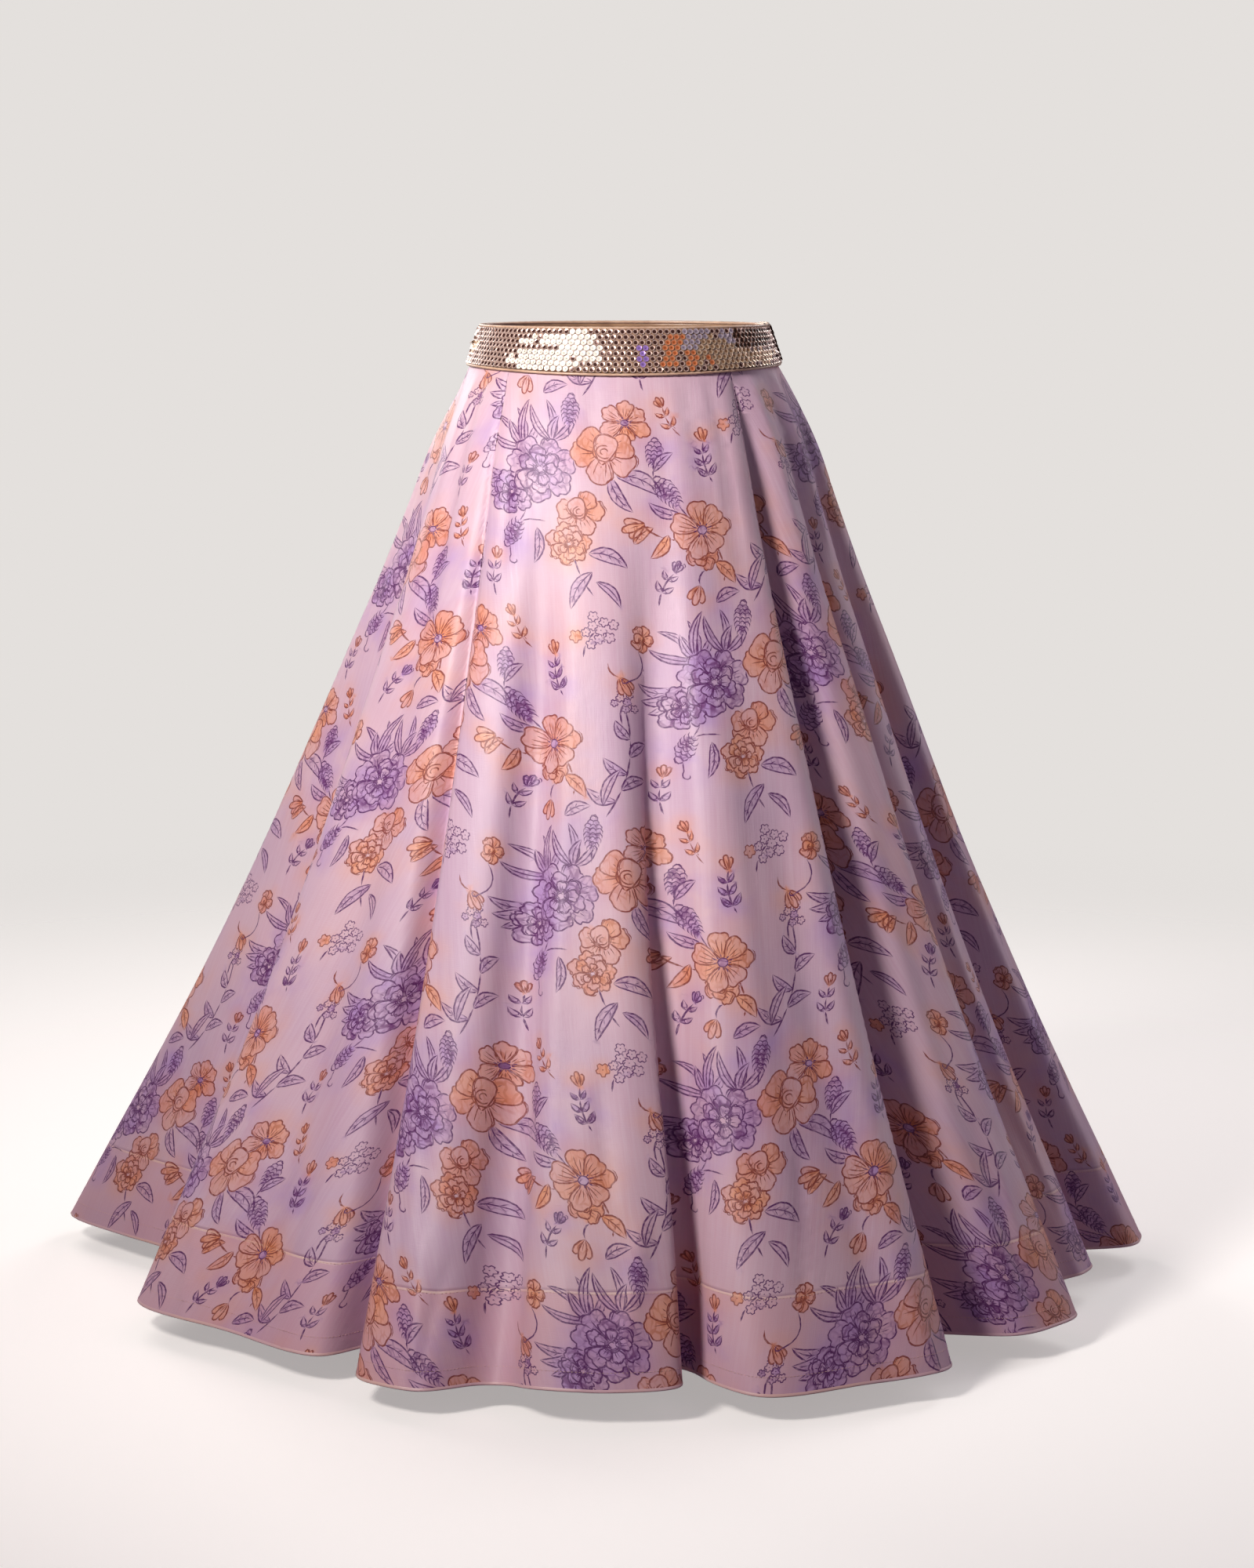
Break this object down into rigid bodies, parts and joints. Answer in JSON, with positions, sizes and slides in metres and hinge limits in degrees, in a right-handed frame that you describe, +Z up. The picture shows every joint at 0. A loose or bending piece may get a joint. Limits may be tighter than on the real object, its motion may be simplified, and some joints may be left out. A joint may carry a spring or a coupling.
{
  "type": "lehenga skirt",
  "caption": "Floor-length lehenga skirt of floral printed organza with deep flared folds, a faced hem and a stiff sequinned waistband, hanging open as worn.",
  "frame": {"origin": "middle of the waist opening, level with the top edge of the waistband", "axes": "+Z up out of the waist, front of the skirt towards -Y, the wearer's left towards +X"},
  "size_m": [1.1459, 1.0253, 0.96],
  "materials": {
    "waistband_sequins": "satin ground sewn all over with small round champagne-gold sequins",
    "piping_satin": "champagne satin cord piping, soft sheen",
    "printed_organza": "semi-sheer silk-like organza, pink, printed with lilac and peach sprays of flowers, satin sheen along the folds",
    "facing_organza": "plain pink organza, semi-sheer"
  },
  "bodies": {
    "root": {"waistband": "waistband_sequins", "piping_top": "piping_satin", "piping_bottom": "piping_satin", "panel_front": "printed_organza", "panel_front_left": "printed_organza", "panel_front_right": "printed_organza", "panel_back_left": "printed_organza", "panel_back_right": "printed_organza", "hem_facing": "facing_organza"}
  },
  "joints": []
}
